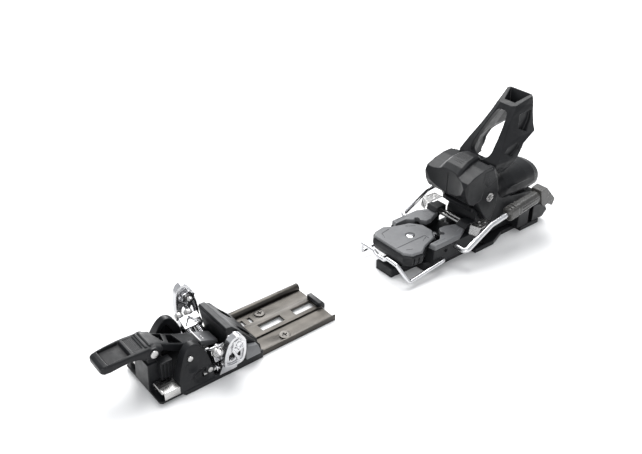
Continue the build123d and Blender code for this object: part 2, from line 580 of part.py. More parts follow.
# ------------------------------------------------------------------ write every sub-part
def main():
    os.makedirs("parts", exist_ok=True)
    single = {
        "toe_base": toe_base, "toe_rear_cover": rear_cover, "toe_rail": rail, "rail_screws": rail_screws,
        "rail_end_cap": rail_end_cap, "bracket_pins": bracket_pins, "toe_lever": toe_lever, "lever_pad": lever_pad,
        "lever_pin": lever_pin, "lock_plate": lock_plate, "heel_track": heel_track, "brake_base": brake_base,
        "cross_rods": cross_rods, "pedal_spring": pedal_spring, "pedal_axle": pedal_axle,
        "brake_pedal": brake_pedal, "pedal_pad": pedal_pad, "climbing_bail": climbing_bail,
        "heel_carriage": heel_carriage, "heel_housing": heel_housing, "din_screw": din_screw,
        "din_pointer": din_pointer, "length_screw": length_screw, "cup_axle": cup_axle, "cup_screws": cup_screws,
        "release_spring": release_spring, "pedal_rivet": pedal_rivet, "heel_cup": heel_cup, "treadle": treadle,
        "release_lever": release_lever,
    }
    paired = {
        "toe_bracket": toe_bracket, "wing_axle": wing_axle, "boot_stop": boot_stop, "crampon_clip": crampon_clip,
        "toe_wing": toe_wing, "boot_pin": boot_pin, "jaw_block": jaw_block, "jaw_springs": jaw_springs,
        "spring_caps": spring_caps, "side_pad": side_pad, "tower": tower, "tower_plate": tower_plate,
        "brake_wire": brake_wire, "brake_sleeve": brake_sleeve, "brake_foot": brake_foot,
    }
    for name, make in single.items():
        save(name, make())
    for name, make in paired.items():
        left = make()
        save(f"{name}_left", left)
        save(f"{name}_right", mirrored(left))


main()
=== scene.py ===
"""Looks of the touring binding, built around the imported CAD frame.

Lengths in the modelling part are millimetres in the shared frame: +X to the skier's left, +Y towards
the ski's tail, +Z up.  MM turns them into Blender's metres when a piece is made.
"""
import json
import math

import bmesh
import bpy
from mathutils import Matrix, Vector


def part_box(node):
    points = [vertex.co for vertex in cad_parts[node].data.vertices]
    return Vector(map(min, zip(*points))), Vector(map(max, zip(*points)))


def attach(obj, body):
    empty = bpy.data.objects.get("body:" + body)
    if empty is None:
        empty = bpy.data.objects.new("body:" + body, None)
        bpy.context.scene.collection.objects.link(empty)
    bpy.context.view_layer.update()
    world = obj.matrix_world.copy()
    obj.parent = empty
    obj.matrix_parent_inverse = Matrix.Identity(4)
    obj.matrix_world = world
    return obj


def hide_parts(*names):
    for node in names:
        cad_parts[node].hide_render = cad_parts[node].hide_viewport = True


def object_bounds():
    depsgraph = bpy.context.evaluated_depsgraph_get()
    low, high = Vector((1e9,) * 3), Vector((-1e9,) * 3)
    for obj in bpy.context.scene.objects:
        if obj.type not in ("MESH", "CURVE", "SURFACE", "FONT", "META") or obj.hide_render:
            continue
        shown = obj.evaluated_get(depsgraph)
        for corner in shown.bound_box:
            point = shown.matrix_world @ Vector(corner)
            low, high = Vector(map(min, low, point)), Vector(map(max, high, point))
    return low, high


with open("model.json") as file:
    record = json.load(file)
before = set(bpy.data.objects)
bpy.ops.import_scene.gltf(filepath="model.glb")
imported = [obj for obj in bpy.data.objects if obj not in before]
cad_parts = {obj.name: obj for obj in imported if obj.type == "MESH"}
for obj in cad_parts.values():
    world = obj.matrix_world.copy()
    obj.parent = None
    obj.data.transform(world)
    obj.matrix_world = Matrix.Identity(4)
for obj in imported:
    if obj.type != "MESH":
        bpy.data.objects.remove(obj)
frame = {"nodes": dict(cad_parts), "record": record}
CAD_LOW, CAD_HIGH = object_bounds()

MM = 0.001
COARSE = 1.0     # voxels are this much larger while trying things
SLOTS = {part["node"]: part["material_slot"] for part in frame["record"]["subparts"]}
BODIES = {node: body for body, nodes in frame["record"]["behaviour"]["bodies"].items() for node in nodes}


def middle(node):
    """Centre of a CAD node's box, in millimetres to a tenth."""
    low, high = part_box(node)
    return tuple(round((a + b) / 2 / MM, 1) for a, b in zip(low, high))


# ------------------------------------------------------------------ materials
class Graph:
    """A new node material with a Principled shader, and short ways to add nodes to it."""

    def __init__(self, name, roughness=0.5, metallic=0.0, **sockets):
        self.material = bpy.data.materials.new(name)
        self.material.use_nodes = True
        self.tree = self.material.node_tree
        self.shader = self.tree.nodes["Principled BSDF"]
        self.shader.inputs["Roughness"].default_value = roughness
        self.shader.inputs["Metallic"].default_value = metallic
        for socket, value in sockets.items():
            self.shader.inputs[socket.replace("_", " ")].default_value = value
        self.coords = self.add("ShaderNodeTexCoord").outputs["Object"]

    def add(self, kind, **settings):
        node = self.tree.nodes.new(kind)
        for name, value in settings.items():
            if hasattr(node, name):
                setattr(node, name, value)
            else:
                node.inputs[name].default_value = value
        return node

    def link(self, source, target):
        self.tree.links.new(source, target)

    def noise(self, scale, detail=3.0, stretch=(1, 1, 1), offset=0.0):
        """Noise of about 1/scale metres, drawn out along an axis where stretch is small."""
        mapping = self.add("ShaderNodeMapping")
        mapping.inputs["Scale"].default_value = stretch
        mapping.inputs["Location"].default_value = (offset, offset, offset)
        self.link(self.coords, mapping.inputs["Vector"])
        noise = self.add("ShaderNodeTexNoise", Scale=scale, Detail=detail)
        self.link(mapping.outputs["Vector"], noise.inputs["Vector"])
        return noise.outputs["Fac"]

    def ramp(self, value, low, high, out_low, out_high):
        """Value between low and high, mapped to between out_low and out_high."""
        node = self.add("ShaderNodeMapRange")
        limits = {"From Min": low, "From Max": high, "To Min": out_low, "To Max": out_high}
        for name, number in limits.items():
            node.inputs[name].default_value = number
        self.link(value, node.inputs["Value"])
        return node.outputs["Result"]

    def mix(self, factor, a, b):
        """Colour a where factor is 0, colour b where it is 1."""
        node = self.add("ShaderNodeMix", data_type="RGBA")
        self.link(factor, node.inputs["Factor"])
        for socket, colour in ((node.inputs[6], a), (node.inputs[7], b)):
            if isinstance(colour, bpy.types.NodeSocket):
                self.link(colour, socket)
            else:
                socket.default_value = (*colour, 1)
        return node.outputs[2]

    def colour(self, socket):
        self.link(socket, self.shader.inputs["Base Color"])

    def roughness(self, socket):
        self.link(socket, self.shader.inputs["Roughness"])

    def bumps(self, *layers):
        """Stack of (height, strength, distance in mm) bumps on the shader's normal."""
        previous = None
        for height, strength, distance in layers:
            bump = self.add("ShaderNodeBump", Strength=strength, Distance=distance * MM)
            self.link(height, bump.inputs["Height"])
            if previous:
                self.link(previous, bump.inputs["Normal"])
            previous = bump.outputs["Normal"]
        self.link(previous, self.shader.inputs["Normal"])


def moulded_plastic(name, dark, light, rough, specular):
    """Injection-moulded plastic: spark-eroded grain, cloudy tone, streaks of painted sheen, and paler edges
    that are partly wear and partly painted highlight.
    """
    g = Graph(name, rough, Specular_IOR_Level=specular)
    cloud = g.noise(45.0, 4.0)
    tone = g.mix(g.ramp(cloud, 0.35, 0.65, 0, 1), dark, light)
    # Edges found by Pointiness take a paler tone: partly wear, partly a painted highlight where the rounded
    # edges catch light.
    edge = g.ramp(g.add("ShaderNodeNewGeometry").outputs["Pointiness"], 0.53, 0.62, 0, 0.55)
    pale_wear_and_highlight = tuple(min(1.0, c * 2.0 + 0.010) for c in light)
    # Streaks of painted sheen, drawn out along y, in the same pale tone as the edges.
    sheen_streaks = g.noise(900.0, 6.0, (1, 0.12, 1), 3.1)
    sheen_spots = g.ramp(sheen_streaks, 0.62, 0.74, 0, 0.35)
    g.colour(g.mix(sheen_spots, g.mix(edge, tone, pale_wear_and_highlight), pale_wear_and_highlight))
    grain = g.noise(2600.0, 2.0)
    g.roughness(g.ramp(g.noise(160.0, 5.0, offset=7.7), 0.3, 0.7, rough - 0.08, rough + 0.08))
    g.bumps((grain, 0.35, 0.05), (g.noise(320.0, 3.0), 0.12, 0.08))
    return g.material


def brushed_metal(name, dark, light, rough, stretch):
    """Metal with fine marks drawn out along one axis, cloudy tone and small pits."""
    g = Graph(name, rough, 1.0)
    lines = g.noise(1500.0, 5.0, stretch)
    cloud = g.noise(60.0, 4.0, offset=2.3)
    tone = g.mix(g.ramp(cloud, 0.3, 0.7, 0, 1), dark, light)
    fine = tuple(min(1.0, c * 1.25 + 0.01) for c in light)
    g.colour(g.mix(g.ramp(lines, 0.52, 0.75, 0, 0.6), tone, fine))
    g.roughness(g.ramp(lines, 0.3, 0.7, rough * 0.75, rough * 1.35))
    g.bumps((lines, 0.3, 0.03), (g.noise(420.0, 2.0, offset=5.0), 0.1, 0.05))
    return g.material


def cast_metal(name, dark, light, rough):
    """Polished casting: gently dimpled, with soft tone changes and small scratches."""
    g = Graph(name, rough, 1.0)
    cloud = g.noise(90.0, 4.0)
    scratch = g.noise(2100.0, 3.0, (1, 1, 0.08), 1.7)
    tone = g.mix(g.ramp(cloud, 0.35, 0.65, 0, 1), dark, light)
    g.colour(g.mix(g.ramp(scratch, 0.6, 0.8, 0, 0.35), tone, tuple(c * 0.7 for c in dark)))
    g.roughness(g.ramp(g.noise(300.0, 4.0, offset=4.4), 0.3, 0.7, rough * 0.7, rough * 1.6))
    g.bumps((g.noise(230.0, 2.0, offset=9.0), 0.45, 0.10), (scratch, 0.10, 0.02))
    return g.material


# name: dark tone, light tone, roughness, specular level
PLASTICS = {
    "black_plastic": ((0.0060, 0.0064, 0.0072), (0.0095, 0.0100, 0.0112), 0.38, 0.22),
    "rubber_inlay": ((0.012, 0.012, 0.013), (0.017, 0.017, 0.018), 0.6, 0.3),
    "grey_plastic": ((0.088, 0.090, 0.094), (0.116, 0.118, 0.122), 0.42, 0.5),
    "brake_plastic": ((0.034, 0.033, 0.031), (0.050, 0.048, 0.045), 0.24, 0.5),
    "signal_plastic": ((0.62, 0.62, 0.60), (0.72, 0.72, 0.70), 0.45, 0.5),
}
# name: dark tone, light tone, roughness, and how the brush marks are drawn out along x, y and z
BRUSHED_METALS = {
    "anodised_rail": ((0.048, 0.045, 0.041), (0.070, 0.065, 0.059), 0.36, (1, 0.02, 1)),
    "dark_steel": ((0.060, 0.056, 0.052), (0.095, 0.090, 0.084), 0.32, (1, 1, 1)),
    "bright_steel": ((0.44, 0.44, 0.43), (0.56, 0.55, 0.54), 0.26, (1, 0.1, 1)),
    "spring_steel": ((0.55, 0.55, 0.56), (0.70, 0.70, 0.71), 0.22, (0.2, 1, 1)),
    "polished_wire": ((0.52, 0.52, 0.53), (0.66, 0.66, 0.67), 0.18, (1, 0.05, 1)),
}
MATERIALS = {name: moulded_plastic(name, *look) for name, look in PLASTICS.items()}
MATERIALS.update({name: brushed_metal(name, *look) for name, look in BRUSHED_METALS.items()})
MATERIALS["bright_alloy"] = cast_metal("bright_alloy", (0.50, 0.50, 0.51), (0.62, 0.62, 0.63), 0.17)


# ------------------------------------------------------------------ closed shapes, in millimetres
class Shape:
    """A closed mesh as vertices and faces."""

    def __init__(self, verts, faces):
        self.verts = [Vector(v) for v in verts]
        self.faces = faces

    def moved(self, matrix):
        return Shape([matrix @ v for v in self.verts], self.faces)

    def mirrored(self):
        return Shape([(-v.x, v.y, v.z) for v in self.verts], [tuple(reversed(f)) for f in self.faces])


def loft(rings):
    """Closed skin through rings that have the same number of points."""
    count = len(rings[0])
    verts = [p for ring in rings for p in ring]
    faces = []
    for r in range(len(rings) - 1):
        for i in range(count):
            j = (i + 1) % count
            faces.append((r * count + i, r * count + j, (r + 1) * count + j, (r + 1) * count + i))
    faces.append(tuple(reversed(range(count))))
    faces.append(tuple(range((len(rings) - 1) * count, len(rings) * count)))
    return Shape(verts, faces)


def place(plane, u, v, w):
    """Point with u, v in the named plane and w along the third axis."""
    return {"yz": (w, u, v), "xz": (u, w, v), "xy": (u, v, w)}[plane]


def prism(plane, points, low, high):
    """Outline in a plane, swept along the third axis from low to high."""
    return loft([[place(plane, u, v, w) for u, v in points] for w in (low, high)])


def tapered(plane, points_low, low, points_high, high):
    """Skin between two outlines with the same number of points."""
    rings = ((points_low, low), (points_high, high))
    return loft([[place(plane, u, v, w) for u, v in points] for points, w in rings])


def block(x0, x1, y0, y1, z0, z1):
    return prism("xy", [(x0, y0), (x1, y0), (x1, y1), (x0, y1)], z0, z1)


def axes(start, end):
    """Two directions that are square to the line between two points, and to each other."""
    along = (end - start).normalized()
    side = along.orthogonal().normalized()
    return side, along.cross(side)


def rod(start, end, radius, end_radius=None, sides=40):
    """Cylinder or cone between two points."""
    start, end = Vector(start), Vector(end)
    side, up = axes(start, end)
    rings = []
    for centre, r in ((start, radius), (end, radius if end_radius is None else end_radius)):
        angles = [2 * math.pi * i / sides for i in range(sides)]
        rings.append([centre + side * (r * math.cos(a)) + up * (r * math.sin(a)) for a in angles])
    return loft(rings)


def ellipsoid(centre, radii, turn=None, rows=20, sides=36):
    """Ball with three radii, turned by a matrix."""
    rings = []
    for i in range(rows + 1):
        t = math.pi * (0.02 + 0.96 * i / rows)
        ring = []
        for j in range(sides):
            a = 2 * math.pi * j / sides
            p = Vector((radii[0] * math.sin(t) * math.cos(a), radii[1] * math.sin(t) * math.sin(a),
                        radii[2] * math.cos(t)))
            ring.append(Vector(centre) + (turn @ p if turn else p))
        rings.append(ring)
    return loft(rings)


def smooth_outline(points, per_span=6):
    """Closed Catmull-Rom curve through 2-D points."""
    out = []
    count = len(points)
    for i in range(count):
        p = [Vector(points[(i + k) % count]) for k in (-1, 0, 1, 2)]
        for s in range(per_span):
            t = s / per_span
            q = 0.5 * (2 * p[1] + (p[2] - p[0]) * t + (2 * p[0] - 5 * p[1] + 4 * p[2] - p[3]) * t * t
                       + (3 * p[1] - p[0] - 3 * p[2] + p[3]) * t * t * t)
            out.append((q.x, q.y))
    return out


def both_sides(half):
    """Outline of a shape that is the same on both sides of u = 0, from its half."""
    return half + [(-u, v) for u, v in reversed(half)]


# ------------------------------------------------------------------ making pieces
def mesh_of(shape):
    mesh = bpy.data.meshes.new("shape")
    mesh.from_pydata([v * MM for v in shape.verts], [], [list(f) for f in shape.faces])
    bm = bmesh.new()
    bm.from_mesh(mesh)
    bmesh.ops.recalc_face_normals(bm, faces=bm.faces)
    bmesh.ops.triangulate(bm, faces=[f for f in bm.faces if len(f.verts) > 4])
    bm.to_mesh(mesh)
    bm.free()
    return mesh


def scratch_object(mesh):
    obj = bpy.data.objects.new("scratch", mesh)
    bpy.context.scene.collection.objects.link(obj)
    return obj


def evaluated_mesh(obj):
    bpy.context.view_layer.update()
    return bpy.data.meshes.new_from_object(obj.evaluated_get(bpy.context.evaluated_depsgraph_get()))


def cut_and_join(base, adds, cuts, keep=()):
    """Mesh of base joined with adds, limited to each of keep, less cuts."""
    obj = scratch_object(mesh_of(base) if isinstance(base, Shape) else base)
    used = [obj]
    steps = [("UNION", shape) for shape in adds]
    steps += [("INTERSECT", shape) for shape in keep]
    steps += [("DIFFERENCE", shape) for shape in cuts]
    for operation, shape in steps:
        other = scratch_object(mesh_of(shape) if isinstance(shape, Shape) else shape)
        other.hide_render = True
        used.append(other)
        modifier = obj.modifiers.new(operation, "BOOLEAN")
        modifier.operation = operation
        modifier.solver = "MANIFOLD"
        modifier.object = other
    mesh = evaluated_mesh(obj)
    for o in used:
        bpy.data.objects.remove(o)
    return mesh


def softened(mesh, voxel, rounds):
    """The mesh rebuilt in small even faces, its edges rounded off as a mould rounds them."""
    obj = scratch_object(mesh)
    remesh = obj.modifiers.new("remesh", "REMESH")
    remesh.mode = "VOXEL"
    remesh.voxel_size = voxel * MM * COARSE
    if rounds:
        smooth = obj.modifiers.new("smooth", "SMOOTH")
        smooth.factor = 0.5
        smooth.iterations = max(1, round(rounds / COARSE ** 2))
    result = evaluated_mesh(obj)
    bpy.data.objects.remove(obj)
    return result


def bevelled(mesh, width, angle=28.0, segments=2):
    """The mesh with its sharp edges rounded by a true bevel."""
    bm = bmesh.new()
    bm.from_mesh(mesh)
    bmesh.ops.remove_doubles(bm, verts=bm.verts, dist=1e-6)
    bmesh.ops.dissolve_limit(bm, angle_limit=math.radians(0.6), verts=bm.verts, edges=bm.edges)
    sharp = [e for e in bm.edges if len(e.link_faces) == 2 and e.calc_face_angle(0) > math.radians(angle)]
    bmesh.ops.bevel(bm, geom=sharp, offset=width * MM, segments=segments, profile=0.5, affect="EDGES",
                    clamp_overlap=True)
    bmesh.ops.triangulate(bm, faces=[f for f in bm.faces if len(f.verts) > 4])
    result = bpy.data.meshes.new("bevelled")
    bm.to_mesh(result)
    bm.free()
    return result


def piece(name, mesh, body, slot, nodes=(), sharp=None):
    """A finished piece that rides on a CAD body and stands for CAD nodes."""
    for polygon in mesh.polygons:
        polygon.use_smooth = True
    if sharp:
        mesh.set_sharp_from_angle(angle=math.radians(sharp))
    mesh.name = name
    mesh.materials.clear()
    mesh.materials.append(MATERIALS[slot])
    obj = bpy.data.objects.new(name, mesh)
    bpy.context.scene.collection.objects.link(obj)
    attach(obj, body)
    if nodes:
        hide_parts(*nodes)
    return obj


def mirrored_mesh(mesh):
    """The same mesh on the other side of the ski axis."""
    copy = mesh.copy()
    copy.transform(Matrix.Scale(-1, 4, (1, 0, 0)))
    copy.flip_normals()
    return copy


def on_both_sides(name, mesh, body, slot, node, per_side_body=False, sharp=None):
    """A left piece and its mirror image on the right."""
    for side, made in (("left", mesh), ("right", mirrored_mesh(mesh))):
        piece(f"{name}_{side}", made, f"{body}_{side}" if per_side_body else body, slot,
              nodes=[f"{node}_{side}"] if node else [], sharp=sharp)


def node_mesh(*names):
    """Copy of CAD nodes' meshes, joined, with the seams between faces welded."""
    bm = bmesh.new()
    for name in names:
        bm.from_mesh(frame["nodes"][name].data)
    bmesh.ops.remove_doubles(bm, verts=bm.verts, dist=1e-6)
    mesh = bpy.data.meshes.new(names[0])
    bm.to_mesh(mesh)
    bm.free()
    return mesh


def remade(node, voxel, rounds):
    """A CAD node's own shape with moulded edges."""
    return softened(node_mesh(node), voxel, rounds)


def joined(shapes):
    """One mesh of several closed shapes, side by side."""
    bm = bmesh.new()
    for shape in shapes:
        part = mesh_of(shape)
        bm.from_mesh(part)
        bpy.data.meshes.remove(part)
    mesh = bpy.data.meshes.new("joined")
    bm.to_mesh(mesh)
    bm.free()
    return mesh


def coil(name, start, end, radius, wire, turns, body, slot, nodes=()):
    """Helical spring between two points, as a round wire with closed ends."""
    start, end = Vector(start), Vector(end)
    side, up = axes(start, end)
    steps = int(turns * 20)
    curve = bpy.data.curves.new(name, "CURVE")
    curve.dimensions = "3D"
    curve.bevel_depth = wire * MM
    curve.bevel_resolution = 3
    curve.use_fill_caps = True
    spline = curve.splines.new("POLY")
    spline.points.add(steps)
    for i in range(steps + 1):
        a = 2 * math.pi * turns * i / steps
        p = start.lerp(end, i / steps) + side * (radius * math.cos(a)) + up * (radius * math.sin(a))
        spline.points[i].co = (*(p * MM), 1)
    obj = bpy.data.objects.new(name, curve)
    mesh = bpy.data.meshes.new_from_object(obj)
    bpy.data.objects.remove(obj)
    return piece(name, mesh, body, slot, nodes=nodes)


def knob(start, end, radius):
    """Round cap with a fluted side and a turned groove."""
    start, end = Vector(start), Vector(end)
    side, up = axes(start, end)
    profile = [(0.0, 0.86), (0.08, 0.97), (0.30, 1.0), (0.34, 0.93), (0.42, 0.93), (0.46, 1.0), (0.86, 0.99),
               (1.0, 0.84)]
    rings = []
    for t, share in profile:
        ring = []
        for i in range(60):
            a = 2 * math.pi * i / 60
            flute = 1.0 + 0.022 * math.cos(10 * a)
            outwards = side * math.cos(a) + up * math.sin(a)
            ring.append(start.lerp(end, t) + outwards * (radius * share * flute))
        rings.append(ring)
    return loft(rings)


def raised_dots(target_name, points, direction, radius, height, body, slot, name):
    """Small raised dots, set on another piece's surface where a line in the given direction meets it."""
    target = bpy.data.objects[target_name]
    direction = Vector(direction).normalized()
    run_up = 0.05       # metres before each point
    dots = []
    for point in points:
        hit, place_at, normal, _ = target.ray_cast(Vector(point) * MM - direction * run_up, direction)
        if hit:
            turn = normal.to_track_quat("Z", "Y").to_matrix()
            dots.append(ellipsoid(place_at / MM, (radius, radius, height), turn, rows=6, sides=10))
    return piece(name, joined(dots), body, slot)


# ------------------------------------------------------------------ CAD nodes that stay
def finish_cad_nodes():
    """Every CAD node takes the material of its slot in the record."""
    for name, obj in frame["nodes"].items():
        for material_slot in obj.material_slots:
            material_slot.link = "OBJECT"
            material_slot.material = MATERIALS[SLOTS[name]]


def bevel_nodes(widths):
    """CAD nodes whose shape is right, with their edges broken by the given widths in millimetres."""
    for node, width in widths.items():
        mesh = bevelled(node_mesh(node), width)
        piece(f"{node}_finished", mesh, BODIES[node], SLOTS[node], nodes=[node], sharp=30)


# ------------------------------------------------------------------ toe unit
_, LEVER_Y, LEVER_Z = middle("lever_pin")
_, PIN_Y, PIN_Z = middle("boot_pin_left")
AXLE_X, _, AXLE_Z = middle("wing_axle_left")
WING_LEAN = 0.24        # how far a wing leans outwards for each millimetre of height
WING_FOOT_Z = 6.0       # height at which the wing's inner face starts
WING_FOOT_X = 30.0      # how far that face is from the ski's middle there
DOME_PINS = ((-46.5, 32.0), (-31.0, 14.5))      # y and z of the pin ends in a side dome
ARM_TILT = 27.0         # slope of the jaw arms, in degrees
ARM_ROOT = (11.8, 0, 15.5)                      # where the left arm's slope starts
SPRING_ROWS = {"front": -22.1, "rear": -12.7}   # y of the two springs on an arm
CAP_ROWS = (-24.3, -14.9)                       # y of the two spring caps on an arm


def soft_ring(y, half, top, bottom, power=5.0, count=40):
    """Cross-section at y: a box with rounded corners, rounder where power is lower."""
    points = []
    for i in range(count):
        a = 2 * math.pi * (i + 0.5) / count
        c, s = math.cos(a), math.sin(a)
        x = half * math.copysign(abs(c) ** (2 / power), c)
        z = (top + bottom) / 2 + (top - bottom) / 2 * math.copysign(abs(s) ** (2 / power), s)
        points.append((x, y, z))
    return points


def toe_lever():
    """Handle with a sunken grip, forked over the post, and a long arm with two triangular pockets."""
    stations = [(-114.8, 8.6, 45.2, 41.2), (-114.2, 10.4, 46.3, 39.8), (-112.0, 11.7, 47.1, 38.6),
                (-107.0, 12.4, 47.6, 38.8), (-99.0, 13.0, 47.9, 40.2), (-91.0, 13.4, 48.0, 41.0),
                (-84.0, 13.7, 47.9, 39.8), (-79.0, 13.8, 47.7, 36.8), (-73.0, 13.8, 47.6, 35.4),
                (-67.0, 13.6, 46.0, 36.4), (-62.2, 12.9, 43.4, 39.4)]
    handle = loft([soft_ring(*s) for s in stations])
    arm = loft([soft_ring(y, half, top, bottom, 7.0) for y, half, top, bottom in
                ((-78.0, 9.6, 47.6, 43.0), (-70.0, 9.6, 47.4, 42.4), (-62.0, 9.3, 43.6, 36.2),
                 (-52.0, 9.0, 38.6, 30.0), (-40.0, 8.8, 32.6, 24.0), (-26.0, 8.8, 26.6, 21.5))])
    ribs = [block(-10.5, 10.5, y, y + 1.6, 46.4, 48.3) for y in (-76.0, -72.6)]
    boss = [rod((side * 13.0, LEVER_Y, LEVER_Z), (side * 14.0, LEVER_Y, LEVER_Z), 5.2) for side in (-1, 1)]
    grip = tapered("xy", both_sides([(9.0, -107.2), (9.4, -90.6)]), 44.0,
                   both_sides([(10.4, -109.4), (10.8, -88.4)]), 49.0)
    label = prism("xy", both_sides([(9.4, -86.6), (9.4, -78.0)]), 47.1, 50)
    fork = block(-9.8, 9.8, -82.0, -65.0, 20, 42.0)
    post_room = rod((-9.8, LEVER_Y, LEVER_Z), (9.8, LEVER_Y, LEVER_Z), 4.5)
    first = prism("xy", [(-7.2, -62.0), (-7.2, -54.4), (5.4, -57.6)], 20, 50)
    second = prism("xy", [(7.2, -54.4), (-5.6, -50.6), (-5.6, -45.4), (7.2, -42.4)], 28.5, 50)
    channel = block(6.0, 12.0, -60.0, -30.0, 20.0, 24.6)
    cuts = [grip, label, fork, post_room, first, second, channel, channel.mirrored()]
    mesh = cut_and_join(handle, [arm, *ribs, *boss], cuts)
    return softened(mesh, 0.38, 5)


def lever_label_dots():
    """Rows of tiny raised dots that roughen the handle's flat panel."""
    dots = []
    pitch, row_pitch = 1.8, 1.25
    for row in range(6):
        for column in range(10):
            x = -8.1 + pitch * column + pitch / 2 * (row % 2)
            if x < 8.4:
                centre = (x, -85.4 + row_pitch * row, 47.1)
                dots.append(ellipsoid(centre, (0.34, 0.34, 0.22), rows=5, sides=8))
    return joined(dots)


def side_dome():
    """Left side dome: a leaning shell with a rolled rim and a hollow scooped out of its outer face."""
    side = smooth_outline([(-57.5, 3.0), (-59.2, 13.0), (-57.2, 22.5), (-51.8, 34.5), (-47.6, 40.4),
                           (-43.4, 42.6), (-38.8, 41.4), (-33.8, 36.2), (-29.8, 26.0), (-28.6, 15.5),
                           (-27.6, 8.0), (-28.0, 3.0)])
    slab = prism("yz", side, 17.0, 30.6)
    lean = prism("xz", [(20.8, 0), (30.6, 0), (30.6, 13.0), (28.6, 26.0), (24.6, 43.5), (18.0, 43.5),
                        (18.0, 34.0)], -60, -26)
    scoop = ellipsoid((33.4, -37.5, 12.5), (6.4, 12.0, 7.6))
    dish = ellipsoid((34.6, -45.5, 27.0), (8.2, 10.5, 10.5))
    hollow_outline = [(-53.0, 8.0), (-35.0, 8.0), (-37.0, 24.0), (-43.0, 36.5), (-50.0, 30.0)]
    hollow = prism("yz", smooth_outline(hollow_outline), 16.0, 23.4)
    bosses = []
    seats = []
    for (y, z), boss_in, boss_out, seat_in in zip(DOME_PINS, (22.0, 25.0), (26.6, 30.6), (24.4, 25.0)):
        bosses.append(rod((boss_in, y, z), (boss_out, y, z), 4.2))
        seats.append(rod((seat_in, y, z), (33, y, z), 2.45))
    axle = rod((AXLE_X, -37.0, AXLE_Z), (AXLE_X, -20.0, AXLE_Z), 2.25)
    limited = cut_and_join(slab, [], [scoop, dish, hollow], [lean])
    mesh = cut_and_join(limited, bosses, [*seats, axle])
    floor = block(10, 40, -70, -20, -5, 4.55)
    return softened(cut_and_join(softened(mesh, 0.34, 4), [], [floor]), 0.34, 2)


def leaning(shape):
    """A wing's shape drawn upright, leant outwards."""
    verts = [(v.x + WING_FOOT_X + WING_LEAN * (v.z - WING_FOOT_Z), v.y, v.z) for v in shape.verts]
    return Shape(verts, shape.faces)


def star(centre_y, centre_z, outer, inner, points=6, turn=0.3):
    """Rounded star outline, turned by some radians."""
    out = []
    for i in range(points * 2):
        a = math.pi * i / points + turn
        r = outer if i % 2 == 0 else inner
        out.append((centre_y + r * math.cos(a), centre_z + r * math.sin(a)))
    return smooth_outline(out, 4)


def toe_wing():
    """Left polished wing: rimmed plate, star-shaped boss round the pin, oval window and slanting rib."""
    rim = smooth_outline([(-20.8, 15.6), (-22.8, 22.0), (-22.9, 33.0), (-20.6, 44.2), (-16.8, 49.6),
                          (-12.4, 51.2), (-8.0, 49.0), (-4.2, 42.0), (-2.5, 31.0), (-2.6, 20.6),
                          (-5.0, 14.8), (-13.0, 13.8)])
    inset = smooth_outline([(-19.2, 18.4), (-20.6, 24.0), (-20.5, 33.0), (-18.2, 42.6), (-15.4, 47.1),
                            (-12.4, 48.4), (-9.4, 46.4), (-6.5, 40.6), (-5.1, 31.0), (-5.1, 21.6),
                            (-6.8, 17.8), (-13.0, 16.6)])
    window_outline = [(-16.8, 21.0), (-17.8, 27.0), (-15.0, 31.4), (-11.6, 27.8), (-12.0, 21.6),
                      (-14.4, 19.2)]
    slit_outline = [(-9.0, 19.6), (-9.6, 25.0), (-7.4, 29.4), (-6.4, 23.0), (-7.2, 19.0)]
    plate = leaning(prism("yz", rim, 0.0, 6.6))
    outer_dish = leaning(prism("yz", inset, 4.7, 9.0))
    inner_dish = leaning(prism("yz", inset, -3.0, 1.7))
    window = leaning(prism("yz", smooth_outline(window_outline), -4, 10))
    slit = leaning(prism("yz", smooth_outline(slit_outline), -4, 10))
    ring = prism("yz", star(PIN_Y, PIN_Z, 7.0, 5.6), 35.4, 45.4)
    sunk = prism("yz", star(PIN_Y, PIN_Z, 5.1, 3.5), 43.8, 49.0)
    button = rod((41.0, PIN_Y, PIN_Z), (44.8, PIN_Y, PIN_Z), 2.2)
    rib_section = ((1.8, -1.6), (1.8, 1.6), (5.6, 1.2), (5.6, -1.2))
    rib_ends = ((-6.0, 15.0), (-15.5, 34.5))
    rib = leaning(loft([[(x, y + aside, z) for x, aside in rib_section] for y, z in rib_ends]))
    foot = rod((AXLE_X, -24.4, AXLE_Z), (AXLE_X, -7.5, AXLE_Z), 3.6)
    web = tapered("xy", [(AXLE_X, -24.4), (AXLE_X, -7.5), (33.5, -7.5), (33.5, -24.4)], 6.3,
                  [(31.0, -21.6), (31.0, -6.0), (36.0, -6.0), (36.0, -21.6)], 17.6)
    bore = rod((AXLE_X, -30, AXLE_Z), (AXLE_X, 0, AXLE_Z), 2.25)
    pin_hole = rod((30, PIN_Y, PIN_Z), (36.8, PIN_Y, PIN_Z), 3.02)
    dished = cut_and_join(plate, [], [outer_dish, inner_dish, window, slit])
    mesh = cut_and_join(dished, [ring, rib, foot, web], [sunk, bore, pin_hole])
    return softened(cut_and_join(mesh, [button], []), 0.3, 4)


def arm_matrix():
    """Frame of the left jaw arm: its X axis runs outwards and up along the arm."""
    return Matrix.Translation(ARM_ROOT) @ Matrix.Rotation(-math.radians(ARM_TILT), 4, "Y")


